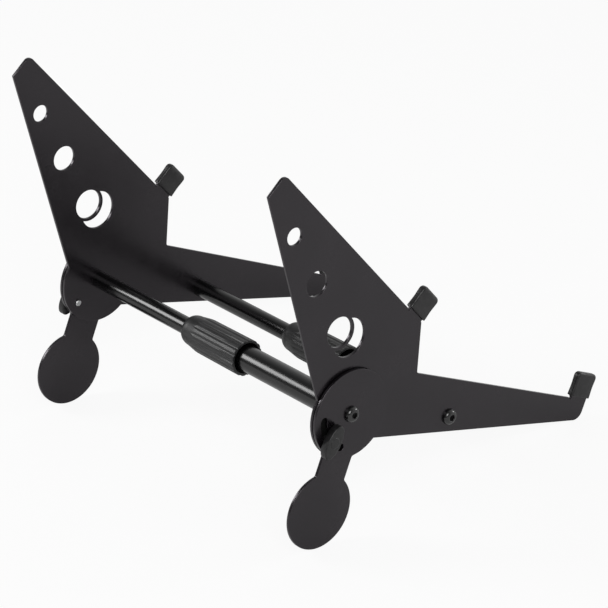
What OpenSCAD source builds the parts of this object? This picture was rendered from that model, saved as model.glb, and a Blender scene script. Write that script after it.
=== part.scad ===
// Desktop gear stand: two sheet-steel wings joined by a rear and a front telescopic
// tube, each with a twist clamp, and a locking leg on the outer face of each wing.
// X runs across the stand along the tubes, -Y points to the front, Z is up.
// The origin is on the ground, under the middle of the stand's bounding box.
//
// Every wing, leg, cap and knob is drawn in the plane of its wing. There the pivot of
// the leg is at [0, 0], x runs forward along the bottom edge of the lower arm, y is
// square to it and z is the distance outward from the wing's inner face.
// An edge of the wing is given by the direction of its outward normal and by its
// distance from the pivot.

/* [Wings] */
// Thickness of the steel sheet of the wings and legs
sheet_t = 3; // [2:0.5:4]
// Clear distance between the two wings as they stand here
wing_gap = 352; // [335:1:370]
// Radius of the round end of a wing, about the leg pivot
wing_end_r = 41.5; // [38:0.5:44]
// Slope of the upper rest edge against the bottom edge of the lower arm
rest_angle = 34.5; // [30:0.5:38]
// Distance of the upper rest edge from the pivot
rest_offset = 103.3; // [96:0.1:112]
// Distance from the pivot back along the upper rest edge to the top of the wing
wing_reach = 231.3; // [210:0.1:250]
// Lean of the back edge against a square to the bottom edge
back_angle = 30; // [26:0.5:34]
// Distance of the back edge from the pivot
back_offset = 28; // [24:0.5:32]
// Distance of the bottom edge of the lower arm from the pivot
bottom_offset = 26.2; // [23:0.1:30]
// Slope of the top edge of the lower arm against its bottom edge
arm_angle = 9.5; // [7:0.5:12]
// Distance of the top edge of the lower arm from the pivot
arm_offset = 44.2; // [40:0.1:50]
// Lean of the step edge between the two rests
step_angle = 10.5; // [7:0.5:14]
// Distance of the step edge from the pivot
step_offset = 79.3; // [76:0.1:86]
// Radius of the corner at the top of the upper rest edge
top_corner_r = 6; // [3:0.5:9]
// Radius of the front bottom corner, on which the arm stands
toe_r = 10; // [6:0.5:14]
// Radius of the elbow between the step edge and the lower arm
elbow_r = 3; // [1:0.5:6]

/* [Lip and hook] */
// Distance from the pivot along the upper rest edge to the near side of the lip
lip_start = -13.9; // [-24:0.1:-12]
// Width of the lip tab
lip_w = 21.7; // [16:0.1:22]
// Height of the lip tab over the upper rest edge
lip_h = 23.6; // [18:0.1:30]
// Distance from the pivot along the top edge of the lower arm to the hook
hook_start = 282.8; // [240:0.2:300]
// Width of the hook
hook_w = 22.6; // [18:0.1:30]
// Height of the hook over the top edge of the lower arm
hook_h = 24; // [18:0.1:30]
// Radius of the relief cut at the foot of the lip and of the hook
relief_r = 1.2; // [1:0.1:2]
// Radius of the corners of the tabs
tab_corner_r = 2; // [1:0.5:3]
// Rubber over the ends and edges of a tab
cap_wall = 1.8; // [1.2:0.1:2]
// Rubber over each face of a tab
cap_side = 2; // [1.5:0.1:3]
// Bare height of a tab below its cap
cap_lift = 2.2; // [1.8:0.1:4]
// Radius of the rounded edges of a cap
cap_edge_r = 1.6; // [1:0.1:1.8]
// Radius of a cap's corners, seen on its face
cap_corner_r = 4; // [3:0.1:5]

/* [Cut-outs of the wings] */
// Direction of the row of round cut-outs, below the forward direction
hole_row_angle = 49; // [45:0.5:53]
// Forward place of the middle hole
mid_hole_x = -70.2; // [-73:0.1:-67]
// Height of the middle hole
mid_hole_y = 119.7; // [117:0.1:123]
// Distance from the middle hole back to the small hole
small_hole_pitch = 56.3; // [50:0.1:60]
// Distance from the middle hole forward to the large hole
large_hole_pitch = 59.3; // [54:0.1:62]
// Radius of the small hole
small_hole_r = 8; // [5:0.5:10]
// Radius of the middle hole
mid_hole_r = 11.7; // [8:0.1:14]
// Radius of the large hole
large_hole_r = 14.1; // [11:0.1:16]
// Width of the strip left between the large hole and its crescent
strip_w = 2.7; // [2:0.1:4]
// Radius of the outer edge of the crescent
crescent_r = 18.1; // [16.5:0.1:19.5]
// Distance of the crescent's centre from the large hole's
crescent_shift = 13.4; // [11:0.1:15]
// Direction in which the crescent lies, below the forward direction
crescent_angle = 24; // [15:1:35]

/* [Legs] */
// Radius of the leg's pivot disc
leg_disc_r = 41.5; // [38.5:0.5:44]
// Radius of the foot disc
foot_r = 35.5; // [32:0.5:38]
// Distance from the pivot to the centre of the foot
leg_len = 91.2; // [86:0.1:98]
// Width of the neck between the two discs
neck_w = 34.7; // [28:0.1:40]
// Radius of the four corners where the neck meets the discs
neck_fillet_r = 2.5; // [1:0.5:5]
// Backward lean of the leg against a square to the bottom edge
leg_lean = 8; // [2:0.5:12]
// Swing of the leg either way before the stud meets the end of its slot
leg_swing = 36; // [25:1:40]
// Thickness of the friction disc between wing and leg
friction_disc_t = 1; // [0.5:0.25:2]
// Radius of the friction disc
friction_disc_r = 37.5; // [35.5:0.5:40]

/* [Knobs] */
// Distance of the knob stud from the pivot
stud_radius = 31; // [29:0.5:32]
// Direction of the knob stud from the pivot, measured from forward
stud_angle = 226; // [222:1:230]
// Diameter of the knob stud
stud_d = 6; // [5:0.5:6.5]
// Free room of the stud across its slot
slot_play = 1; // [0.6:0.1:1.5]
// Length of stud that stands out of the wing's inner face
stud_tip = 2; // [1:0.5:4]
// Length of the wing knob
knob_len = 32; // [28:0.5:35]
// Width of the wing knob
knob_w = 15.8; // [13.5:0.1:18]
// Thickness of the knob's wing
knob_t = 8; // [6:0.5:10]
// Radius of the knob's two ends
knob_end_r = 2.4; // [1.8:0.1:4]
// Radius of the knob's rounded edges
knob_rim_r = 1.5; // [0.8:0.1:2]
// Diameter of the collar under the knob
knob_collar_d = 12; // [10:0.5:12.5]
// Height of the collar under the knob
knob_collar_h = 2; // [1:0.5:3]
// Turn of the left knob against the normal of the arm's bottom edge
knob_turn_left = -17; // [-40:1:40]
// Turn of the right knob against the normal of the arm's bottom edge
knob_turn_right = -18; // [-40:1:40]

/* [Tubes] */
// Forward place of the front tube
front_tube_x = 127.7; // [120:0.1:140]
// Height of the front tube's axis over the bottom edge of the arm
front_tube_rise = 14.5; // [13:0.5:16]
// Outer diameter of the outer tubes
outer_tube_d = 24; // [23:0.5:25]
// Outer diameter of the inner tubes
inner_tube_d = 16.5; // [15.5:0.5:17.5]
// Wall of both tubes
tube_wall = 1.5; // [1:0.25:1.75]
// Length of the outer tubes
outer_tube_len = 192; // [170:1:200]
// Length of the inner tubes
inner_tube_len = 205; // [195:1:214]
// Length of the threaded plugs in the tube ends
plug_len = 20; // [18:0.5:24]
// Length of the plastic guide on the free end of an inner tube
guide_len = 16; // [10:1:20]

/* [Twist clamps] */
// Diameter of the sleeve at its open end
sleeve_d = 34.2; // [33:0.2:36]
// Thickness of the sleeve's wall at its open end
sleeve_wall = 2.6; // [2:0.1:2.9]
// Length of the sleeve
sleeve_len = 81; // [74:1:88]
// Length of the sleeve beyond the end of the outer tube
sleeve_reach = 23.5; // [22:0.5:28]
// Loss of the sleeve's radius from its open end to the shoulder of its nose
sleeve_taper = 0.3; // [0:0.1:0.6]
// Length of the nose from its shoulder to its tip
nose_len = 22.5; // [19:0.5:27]
// Length of the rounded end of the nose
nose_round = 9; // [6:0.5:12]
// Radius of the nose where its rounded end starts
nose_r = 14.6; // [14:0.1:15.5]
// Number of flutes round the sleeve
flute_count = 16; // [8:1:20]
// Depth of a flute
flute_depth = 0.9; // [0.5:0.1:1.1]
// Radius of the cutter of a flute
flute_r = 2.4; // [1.5:0.1:3]
// Width and depth of the small notch in the sleeve's rim
rim_notch = 1.6; // [1:0.1:2]
// Length of the collet's threaded skirt over the outer tube
collet_skirt = 24; // [16:1:30]
// Thickness of the collet's shoulder against the end of the outer tube
collet_shoulder = 3; // [2:0.5:4]
// Length of the collet's split fingers
finger_len = 14; // [10:1:16]
// Radius of the fingers at their root
finger_root_r = 11.8; // [11.6:0.1:12.6]
// Radius of the fingers at their tip
finger_tip_r = 10.1; // [9.9:0.1:10.6]
// Number of slits between the fingers
slit_count = 4; // [3:1:6]
// Width of a slit
slit_w = 1.6; // [1:0.1:2.4]

/* [Screws and fits] */
// Diameter of the tube screws
screw_d = 8; // [6:0.5:8]
// Diameter of a screw head
head_d = 15; // [13:0.5:16]
// Height of a screw head
head_h = 4.4; // [3.5:0.1:5]
// Width across flats of the hex socket
socket_w = 5; // [4:0.5:5]
// Depth of the hex socket
socket_depth = 2.6; // [1.5:0.1:3]
// Length of screw in the plug of a tube
screw_bite = 17; // [12:0.5:17.5]
// Radial room of a threaded, pressed or running fit
fit_gap = 0.05; // [0.02:0.01:0.1]
// Radial room of a screw in a clearance hole
hole_gap = 0.25; // [0.15:0.05:0.4]
// Room between the sleeve's cone and the open collet, and round the inner tube
clamp_gap = 0.3; // [0.2:0.05:0.4]

/* [Hidden] */
$fn = 96;
// Overcut that keeps the faces of two cuts apart
over = 1;

// Colours of the finishes
coat_black = [0.07, 0.07, 0.075];
gloss_black = [0.04, 0.04, 0.045];
rubber_grey = [0.12, 0.12, 0.13];
grip_grey = [0.2, 0.2, 0.21];
nylon_black = [0.1, 0.1, 0.1];
plated_steel = [0.78, 0.78, 0.8];

// Outward normals of the wing's edges
rest_normal = 90 - rest_angle;
top_normal = 180 - rest_angle;
back_normal = 180 + back_angle;
bottom_normal = -90;
arm_normal = 90 - arm_angle;
hook_rear_normal = 180 - arm_angle;
hook_front_normal = -arm_angle;
lip_front_normal = -rest_angle;

// Corners between the tabs and the edges they stand on
lip_foot = meet(rest_normal, rest_offset, top_normal, -lip_start);
hook_foot = meet(arm_normal, arm_offset, hook_rear_normal, -hook_start);

// Centres of the cut-outs
mid_hole = [mid_hole_x, mid_hole_y];
small_hole = mid_hole - small_hole_pitch * unit(-hole_row_angle);
large_hole = mid_hole + large_hole_pitch * unit(-hole_row_angle);
crescent = large_hole + crescent_shift * unit(-crescent_angle);

// Places in the wing's plane
front_tube = [front_tube_x, front_tube_rise - bottom_offset];
stud = stud_radius * unit(stud_angle);
foot = leg_len * unit(-90 - leg_lean);
toe_turn = hook_front_normal - bottom_normal;
toe_corner = meet(hook_front_normal, hook_start + hook_w, bottom_normal, bottom_offset);
toe = toe_corner + [-toe_r * tan(toe_turn / 2), toe_r];

// The stand tips forward until the foot and the toe stand on one ground
foot_to_toe = toe - foot;
tilt = atan2(foot_to_toe[1], foot_to_toe[0]) + asin((foot_r - toe_r) / norm(foot_to_toe));

// Layers outward from the wing's inner face
leg_base = sheet_t + friction_disc_t;
leg_face = leg_base + sheet_t;

// Reach of the stand backward and forward of the pivot, and the pivot's height
wing_top = meet(back_normal, back_offset, top_normal, wing_reach);
hook_cap_front = hook_start + hook_w + cap_wall - cap_corner_r;
hook_cap_low = arm_offset + cap_lift + cap_corner_r;
hook_cap_high = arm_offset + hook_h + cap_wall - cap_corner_r;
cap_points = [
  for (n = [hook_cap_low, hook_cap_high])
    hook_cap_front * unit(hook_front_normal) + n * unit(arm_normal)
];
back_reach = min(forward(wing_top), forward(foot) - foot_r);
front_reach = max(forward(cap_points[0]), forward(cap_points[1])) + cap_corner_r;
pivot_y = (back_reach + front_reach) / 2;
pivot_z = foot_r - upward(foot);

// Radii and places in the tubes and clamps
outer_r = outer_tube_d / 2;
inner_r = inner_tube_d / 2;
sleeve_r = sleeve_d / 2;
sleeve_bore_r = sleeve_r - sleeve_wall;
collet_r = sleeve_bore_r - fit_gap;
sleeve_start = outer_tube_len + sleeve_reach - sleeve_len;
finger_end = collet_shoulder + finger_len;
slot_w = stud_d + slot_play;
screw_r = screw_d / 2;
// Arcs of the outlines have one point for about each 7 degrees
arc_step = 7;

function unit(angle) = [cos(angle), sin(angle)];
function forward(p) = p[0] * cos(tilt) + p[1] * sin(tilt);
function upward(p) = -p[0] * sin(tilt) + p[1] * cos(tilt);

// Corner of two edges, each with the direction of its normal and its distance
function meet(n1, d1, n2, d2) =
  [d1 * sin(n2) - d2 * sin(n1), d2 * cos(n1) - d1 * cos(n2)] / sin(n2 - n1);

// Arc of radius r that rounds the corner at b of the path a, b, c
function round_corner(a, b, c, r, step) =
  r == 0 ? [b] :
  let (
    u = (a - b) / norm(a - b),
    v = (c - b) / norm(c - b),
    half = acos(u * v) / 2,
    middle = b + (u + v) / norm(u + v) * r / sin(half),
    start = b + u * r / tan(half) - middle,
    end = b + v * r / tan(half) - middle,
    from = atan2(start[1], start[0]),
    turn = (atan2(end[1], end[0]) - from + 540) % 360 - 180,
    steps = ceil(abs(turn) / step)
  )
  [for (i = [0 : steps]) middle + r * unit(from + turn * i / steps)];

// Outline through corners given as [point, radius]
function rounded(corners, step = arc_step) = [
  for (i = [0 : len(corners) - 1])
    each round_corner(
      corners[(i + len(corners) - 1) % len(corners)][0],
      corners[i][0],
      corners[(i + 1) % len(corners)][0],
      corners[i][1],
      step
    )
];

// Disc of radius r and height h with rims of radius rim, coarse enough for a hull
module soft_disc(r, h, rim) {
  rotate_extrude($fn = 32)
    polygon(rounded([[[0, 0], 0], [[r, 0], rim], [[r, h], rim], [[0, h], 0]], 22.5));
}

// Places children in the plane of the left wing, or of its mirror image on the right
module in_wing_plane(side) {
  if (side == "left") left_wing_plane() children();
  else mirror([1, 0, 0]) left_wing_plane() children();
}
module left_wing_plane() {
  translate([-wing_gap / 2, pivot_y, pivot_z])
    rotate([90, 0, -90])
      rotate([0, 0, -tilt])
        children();
}
// Places children on a tube's axis, with z running inward from the wing's inner face
module on_tube_axis(tube, side) {
  place = tube == "rear" ? [0, 0] : front_tube;
  in_wing_plane(side) translate([place[0], place[1], 0]) mirror([0, 0, 1]) children();
}

module wing_outline() {
  lip_end = lip_start + lip_w;
  hook_end = hook_start + hook_w;
  lip_top = rest_offset + lip_h;
  hook_top = arm_offset + hook_h;
  polygon(rounded([
    [back_offset * unit(back_normal), 0],
    [bottom_offset * unit(bottom_normal), 0],
    [toe_corner, toe_r],
    [meet(hook_front_normal, hook_end, arm_normal, hook_top), tab_corner_r],
    [meet(arm_normal, hook_top, hook_rear_normal, -hook_start), tab_corner_r],
    [hook_foot, 0],
    [meet(arm_normal, arm_offset, step_angle, step_offset), elbow_r],
    [meet(step_angle, step_offset, rest_normal, rest_offset), 0],
    [meet(rest_normal, rest_offset, lip_front_normal, lip_end), 0],
    [meet(lip_front_normal, lip_end, rest_normal, lip_top), tab_corner_r],
    [meet(rest_normal, lip_top, top_normal, -lip_start), tab_corner_r],
    [lip_foot, 0],
    [meet(rest_normal, rest_offset, top_normal, wing_reach), top_corner_r],
    [wing_top, 0]
  ]));
  circle(wing_end_r);
}

module wing_cutouts() {
  translate(small_hole) circle(small_hole_r);
  translate(mid_hole) circle(mid_hole_r);
  translate(large_hole) circle(large_hole_r);
  difference() {
    translate(crescent) circle(crescent_r);
    translate(large_hole) circle(large_hole_r + strip_w);
  }
  translate(lip_foot) circle(relief_r);
  translate(hook_foot) circle(relief_r);
  circle(screw_r + hole_gap);
  translate(front_tube) circle(screw_r + hole_gap);
  translate(stud) circle(stud_d / 2 + fit_gap);
}

module wing_plate(side) {
  color(coat_black)
    in_wing_plane(side)
      linear_extrude(sheet_t)
        difference() {
          wing_outline();
          wing_cutouts();
        }
}

// Rubber boot over a tab: along and up are the tab's near side and foot on its edge
module tab_cap(side, slope, along, up, tab_w, tab_h) {
  low = [along - cap_wall + cap_corner_r, up + cap_lift + cap_corner_r];
  high = [along + tab_w + cap_wall - cap_corner_r, up + tab_h + cap_wall - cap_corner_r];
  pocket_size = [tab_w + 2 * fit_gap, tab_h + fit_gap, sheet_t + 2 * fit_gap];
  color(rubber_grey)
    in_wing_plane(side)
      rotate([0, 0, -slope])
        difference() {
          hull()
            for (x = [low[0], high[0]])
              for (y = [low[1], high[1]])
                translate([x, y, -cap_side])
                  soft_disc(cap_corner_r, sheet_t + 2 * cap_side, cap_edge_r);
          translate([along - fit_gap, up, -fit_gap]) cube(pocket_size);
        }
}
module lip_cap(side) {
  tab_cap(side, rest_angle, lip_start, rest_offset, lip_w, lip_h);
}
module hook_cap(side) {
  tab_cap(side, arm_angle, hook_start, arm_offset, hook_w, hook_h);
}

// Foot of the neck on a disc of radius r at [0, 0], with a round corner on each side
module neck_root(r) {
  reach = r + neck_fillet_r;
  side_x = neck_w / 2 + neck_fillet_r;
  side_y = -sqrt(reach * reach - side_x * side_x);
  turn = atan2(-side_y, side_x);
  steps = ceil(turn / arc_step);
  arc = [
    for (i = [0 : steps]) [side_x, side_y] + neck_fillet_r * unit(180 - turn * i / steps)
  ];
  polygon([each arc, for (i = [steps : -1 : 0]) [-arc[i][0], arc[i][1]]]);
}
module leg_outline() {
  circle(leg_disc_r);
  translate([0, -leg_len]) circle(foot_r);
  translate([-neck_w / 2, -leg_len]) square([neck_w, leg_len]);
  neck_root(leg_disc_r);
  translate([0, -leg_len]) rotate([0, 0, 180]) neck_root(foot_r);
}
// Arc slot about the pivot, in which the stud runs as the leg swings
module swing_slot(middle) {
  far = 2 * stud_radius;
  difference() {
    intersection() {
      circle(stud_radius + slot_w / 2);
      polygon([
        [0, 0],
        far * unit(middle - leg_swing),
        far * unit(middle),
        far * unit(middle + leg_swing)
      ]);
    }
    circle(stud_radius - slot_w / 2);
  }
  for (end = [middle - leg_swing, middle + leg_swing])
    translate(stud_radius * unit(end)) circle(slot_w / 2);
}
module leg_plate(side) {
  color(coat_black)
    in_wing_plane(side)
      translate([0, 0, leg_base])
        rotate([0, 0, -leg_lean])
          linear_extrude(sheet_t)
            difference() {
              leg_outline();
              circle(screw_r + fit_gap);
              swing_slot(stud_angle + leg_lean);
            }
}

module friction_disc(side) {
  color(nylon_black)
    in_wing_plane(side)
      translate([0, 0, sheet_t])
        linear_extrude(friction_disc_t)
          difference() {
            circle(friction_disc_r);
            circle(screw_r + hole_gap);
            translate(stud) circle(stud_d / 2 + hole_gap);
          }
}

// Wing of the knob: a round hub that tapers to two small round ends
module knob_wing() {
  end_y = knob_len / 2 - knob_end_r;
  hull() {
    soft_disc(knob_w / 2, knob_t, knob_rim_r);
    for (y = [-end_y, end_y])
      translate([0, y, 0]) soft_disc(knob_end_r, knob_t, knob_rim_r);
  }
}
module at_knob(side) {
  turn = side == "left" ? knob_turn_left : knob_turn_right;
  in_wing_plane(side)
    translate([stud[0], stud[1], leg_face])
      rotate([0, 0, turn])
        children();
}
module wing_knob(side) {
  color(nylon_black)
    at_knob(side)
      difference() {
        union() {
          cylinder(d = knob_collar_d, h = knob_collar_h + knob_t / 2);
          translate([0, 0, knob_collar_h]) knob_wing();
        }
        translate([0, 0, -over])
          cylinder(r = stud_d / 2 + fit_gap, h = over + knob_collar_h + knob_t / 2);
      }
}
module knob_stud(side) {
  chamfer = 0.6;
  stud_r = stud_d / 2;
  low = -leg_face - stud_tip;
  high = knob_collar_h + knob_t / 2;
  color(plated_steel)
    at_knob(side)
      rotate_extrude()
        polygon([
          [0, low], [stud_r - chamfer, low], [stud_r, low + chamfer],
          [stud_r, high], [0, high]
        ]);
}

// Button-head screw along -z, with its head on the plane z = 0
module button_screw(length) {
  head_r = head_d / 2;
  // The dome is an arc through the rim of the head and the rim of its flat top
  flat_r = socket_w * 0.7;
  edge_h = 0.8;
  color(gloss_black)
    difference() {
      rotate_extrude()
        polygon([
          [0, -length], [screw_r - 0.8, -length], [screw_r, 0.8 - length], [screw_r, 0],
          [head_r, 0], [head_r, edge_h],
          for (i = [1 : 8])
            let (angle = 90 * i / 8)
              [flat_r + (head_r - flat_r) * cos(angle), edge_h + (head_h - edge_h) * sin(angle)],
          [0, head_h]
        ]);
      translate([0, 0, head_h - socket_depth])
        cylinder(d = socket_w / cos(30), h = socket_depth + over, $fn = 6);
    }
}
module pivot_screw(side) {
  in_wing_plane(side)
    translate([0, 0, leg_face]) button_screw(leg_face + screw_bite);
}
module arm_screw(side) {
  in_wing_plane(side)
    translate([front_tube[0], front_tube[1], sheet_t]) button_screw(sheet_t + screw_bite);
}

module pipe(outside_r, inside_r, length) {
  difference() {
    cylinder(r = outside_r, h = length);
    translate([0, 0, -over]) cylinder(r = inside_r, h = length + 2 * over);
  }
}
module outer_tube(tube) {
  color(gloss_black)
    on_tube_axis(tube, "left") pipe(outer_r, outer_r - tube_wall, outer_tube_len);
}
module inner_tube(tube) {
  color(gloss_black)
    on_tube_axis(tube, "right") pipe(inner_r, inner_r - tube_wall, inner_tube_len);
}
module tube_plug(tube, side) {
  bore_r = (side == "left" ? outer_r : inner_r) - tube_wall;
  color(plated_steel)
    on_tube_axis(tube, side) pipe(bore_r - fit_gap, screw_r + fit_gap, plug_len);
}
module guide_bush(tube) {
  color(nylon_black)
    on_tube_axis(tube, "right")
      translate([0, 0, inner_tube_len - guide_len])
        pipe(outer_r - tube_wall - fit_gap, inner_r + fit_gap, guide_len);
}

// Split collet: a skirt over the outer tube, a shoulder and tapered fingers
module clamp_collet(tube) {
  skirt_r = outer_r + fit_gap;
  bore_r = inner_r + fit_gap;
  color(nylon_black)
    on_tube_axis(tube, "left")
      translate([0, 0, outer_tube_len])
        difference() {
          rotate_extrude()
            polygon([
              [skirt_r, -collet_skirt], [collet_r, -collet_skirt],
              [collet_r, collet_shoulder], [finger_root_r, collet_shoulder],
              [finger_tip_r, finger_end], [bore_r, finger_end],
              [bore_r, 0], [skirt_r, 0]
            ]);
          for (i = [0 : slit_count - 1])
            rotate([0, 0, 360 * i / slit_count])
              translate([0, -slit_w / 2, collet_shoulder + slit_w])
                cube([sleeve_r, slit_w, finger_len]);
        }
}

// Fluted sleeve: its bore turns on the collet and its cone squeezes the fingers
module clamp_sleeve(tube) {
  shoulder_r = sleeve_r - sleeve_taper;
  tip_r = inner_r + clamp_gap + 1;
  tip = outer_tube_len + sleeve_reach;
  step = outer_tube_len + collet_shoulder + clamp_gap;
  cone_end = outer_tube_len + finger_end + clamp_gap;
  flute_floor = sleeve_r - flute_depth;
  color(grip_grey)
    on_tube_axis(tube, "left")
      difference() {
        rotate_extrude()
          polygon([
            [sleeve_bore_r, sleeve_start], [sleeve_r - 0.4, sleeve_start],
            [sleeve_r, sleeve_start + 0.4], [shoulder_r, tip - nose_len],
            for (i = [0 : 8])
              let (angle = 90 * i / 8)
                [
                  tip_r + (nose_r - tip_r) * cos(angle),
                  tip - nose_round + nose_round * sin(angle)
                ],
            [inner_r + clamp_gap, tip],
            [inner_r + clamp_gap, cone_end],
            [finger_tip_r + clamp_gap, cone_end],
            [finger_root_r + clamp_gap, step],
            [sleeve_bore_r, step]
          ]);
        for (i = [0 : flute_count - 1])
          rotate([0, 0, 360 * (i + 0.5) / flute_count])
            translate([flute_floor + flute_r, 0, sleeve_start - over])
              cylinder(r = flute_r, h = sleeve_len, $fn = 48);
        rotate([0, 0, 180 / flute_count + 360 / flute_count])
          translate([0, -rim_notch / 2, sleeve_start - over])
            cube([sleeve_r + over, rim_notch, rim_notch + over]);
      }
}

wing_plate("left");  // wing_plate_left
wing_plate("right");  // wing_plate_right
lip_cap("left");  // lip_cap_left
lip_cap("right");  // lip_cap_right
hook_cap("left");  // hook_cap_left
hook_cap("right");  // hook_cap_right
leg_plate("left");  // leg_plate_left
leg_plate("right");  // leg_plate_right
friction_disc("left");  // friction_disc_left
friction_disc("right");  // friction_disc_right
wing_knob("left");  // wing_knob_left
wing_knob("right");  // wing_knob_right
knob_stud("left");  // knob_stud_left
knob_stud("right");  // knob_stud_right
pivot_screw("left");  // pivot_screw_left
pivot_screw("right");  // pivot_screw_right
arm_screw("left");  // arm_screw_left
arm_screw("right");  // arm_screw_right
outer_tube("rear");  // outer_tube_rear
outer_tube("front");  // outer_tube_front
inner_tube("rear");  // inner_tube_rear
inner_tube("front");  // inner_tube_front
tube_plug("rear", "left");  // tube_plug_rear_left
tube_plug("front", "left");  // tube_plug_front_left
tube_plug("rear", "right");  // tube_plug_rear_right
tube_plug("front", "right");  // tube_plug_front_right
guide_bush("rear");  // guide_bush_rear
guide_bush("front");  // guide_bush_front
clamp_collet("rear");  // clamp_collet_rear
clamp_collet("front");  // clamp_collet_front
clamp_sleeve("rear");  // clamp_sleeve_rear
clamp_sleeve("front");  // clamp_sleeve_front
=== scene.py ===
"""Desktop gear stand: two black steel wings on telescopic tubes, dressed for a studio view."""

from __future__ import annotations

import logging
import math
from dataclasses import dataclass, field
from enum import Enum
from typing import Callable, Sequence

import bmesh
import bpy
from mathutils import Matrix, Vector


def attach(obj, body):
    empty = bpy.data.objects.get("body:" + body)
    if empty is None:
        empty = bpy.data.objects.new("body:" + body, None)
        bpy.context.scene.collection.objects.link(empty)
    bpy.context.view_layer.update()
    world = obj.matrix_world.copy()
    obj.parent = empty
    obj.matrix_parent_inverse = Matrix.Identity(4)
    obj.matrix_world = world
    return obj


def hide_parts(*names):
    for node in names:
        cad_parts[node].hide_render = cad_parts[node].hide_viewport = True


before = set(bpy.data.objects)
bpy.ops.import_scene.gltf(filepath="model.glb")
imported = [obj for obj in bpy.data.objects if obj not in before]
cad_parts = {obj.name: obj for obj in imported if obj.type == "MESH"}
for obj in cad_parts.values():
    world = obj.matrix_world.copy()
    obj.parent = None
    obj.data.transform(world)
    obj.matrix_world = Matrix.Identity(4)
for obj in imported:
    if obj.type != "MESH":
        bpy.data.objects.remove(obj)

MM = 0.001
WELD = 1e-6
log = logging.getLogger("gear_stand")

Pair = tuple[float, float]
Triple = tuple[float, float, float]
Inputs = dict[str | int, object]
WHITE: Triple = (1.0, 1.0, 1.0)


class Side(Enum):
    """The two wings."""

    LEFT = "left"
    RIGHT = "right"

    @property
    def body(self) -> str:
        """Name of the body that the wing of this side belongs to."""
        return f"{self.value}_side"


class Tube(Enum):
    """The two telescopic tubes that join the wings."""

    REAR = "rear"
    FRONT = "front"


# Node trees


class Wire:
    """A node's output socket that takes part in Python expressions."""

    def __init__(self, tree: NodeBuilder, socket: bpy.types.NodeSocket) -> None:
        """Keeps the socket and the builder that adds nodes to its tree."""
        self.tree = tree
        self.socket = socket

    def __add__(self, other: Wire | float) -> Wire:
        """Adds a value."""
        return self.tree.math("ADD", self, other)

    __radd__ = __add__

    def __sub__(self, other: Wire | float) -> Wire:
        """Takes a value away."""
        return self.tree.math("SUBTRACT", self, other)

    def __rsub__(self, other: Wire | float) -> Wire:
        """Takes this away from a value."""
        return self.tree.math("SUBTRACT", other, self)

    def __mul__(self, other: Wire | float) -> Wire:
        """Multiplies by a value."""
        return self.tree.math("MULTIPLY", self, other)

    __rmul__ = __mul__

    def __truediv__(self, other: Wire | float) -> Wire:
        """Divides by a value."""
        return self.tree.math("DIVIDE", self, other)

    def __rtruediv__(self, other: Wire | float) -> Wire:
        """Divides a value by this."""
        return self.tree.math("DIVIDE", other, self)

    def __abs__(self) -> Wire:
        """Drops the sign."""
        return self.tree.math("ABSOLUTE", self)

    def lowest(self, other: Wire | float) -> Wire:
        """The lower of this and another value."""
        return self.tree.math("MINIMUM", self, other)

    def highest(self, other: Wire | float) -> Wire:
        """The higher of this and another value."""
        return self.tree.math("MAXIMUM", self, other)

    def above(self, limit: Wire | float) -> Wire:
        """1 where this is over the limit, and 0 elsewhere."""
        return self.tree.math("GREATER_THAN", self, limit)

    def step(self, low: float, high: float) -> Wire:
        """Rises smoothly from 0 to 1 between two values."""
        limits = {"Value": self, "From Min": low, "From Max": high}
        return self.tree.wire("ShaderNodeMapRange", limits, interpolation_type="SMOOTHSTEP")


class NodeBuilder:
    """Adds nodes to one node tree, of a material, the world or Geometry Nodes."""

    def __init__(self, tree: bpy.types.NodeTree) -> None:
        """Starts with the given tree."""
        self.tree = tree

    def node(self, kind: str, inputs: Inputs | None = None, **settings: object) -> bpy.types.Node:
        """Adds one node.

        Args:
            kind: The node's type.
            inputs: Wires, values or RGB colours of its sockets, by name or by number.
            **settings: Its options, set before its sockets.

        Returns:
            The new node.
        """
        made = self.tree.nodes.new(kind)
        for key, value in settings.items():
            setattr(made, key, value)
        for key, value in (inputs or {}).items():
            socket = made.inputs[key]
            if isinstance(value, Wire):
                self.tree.links.new(value.socket, socket)
            else:
                socket.default_value = (*value, 1.0) if socket.type == "RGBA" else value
        return made

    def wire(
        self,
        kind: str,
        inputs: Inputs | None = None,
        output: str | int = 0,
        **settings: object,
    ) -> Wire:
        """Adds one node as node() does, and gives one of its outputs."""
        return Wire(self, self.node(kind, inputs, **settings).outputs[output])

    def math(self, operation: str, *values: Wire | float) -> Wire:
        """Works out one operation on one to three values."""
        return self.wire("ShaderNodeMath", dict(enumerate(values)), operation=operation)

    def combine(self, x: Wire | float, y: Wire | float, z: Wire | float) -> Wire:
        """A vector of three values."""
        return self.wire("ShaderNodeCombineXYZ", {0: x, 1: y, 2: z})

    def split(self, vector: Wire) -> list[Wire]:
        """The three parts of a vector."""
        node = self.node("ShaderNodeSeparateXYZ", {0: vector})
        return [Wire(self, socket) for socket in node.outputs]


def fresh_nodes(owner: bpy.types.Material | bpy.types.World) -> bpy.types.NodeTree:
    """Switches on the nodes of a material or a world.

    Args:
        owner: The material or the world.

    Returns:
        Its node tree, emptied.
    """
    owner.use_nodes = True
    owner.node_tree.nodes.clear()
    return owner.node_tree


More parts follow.
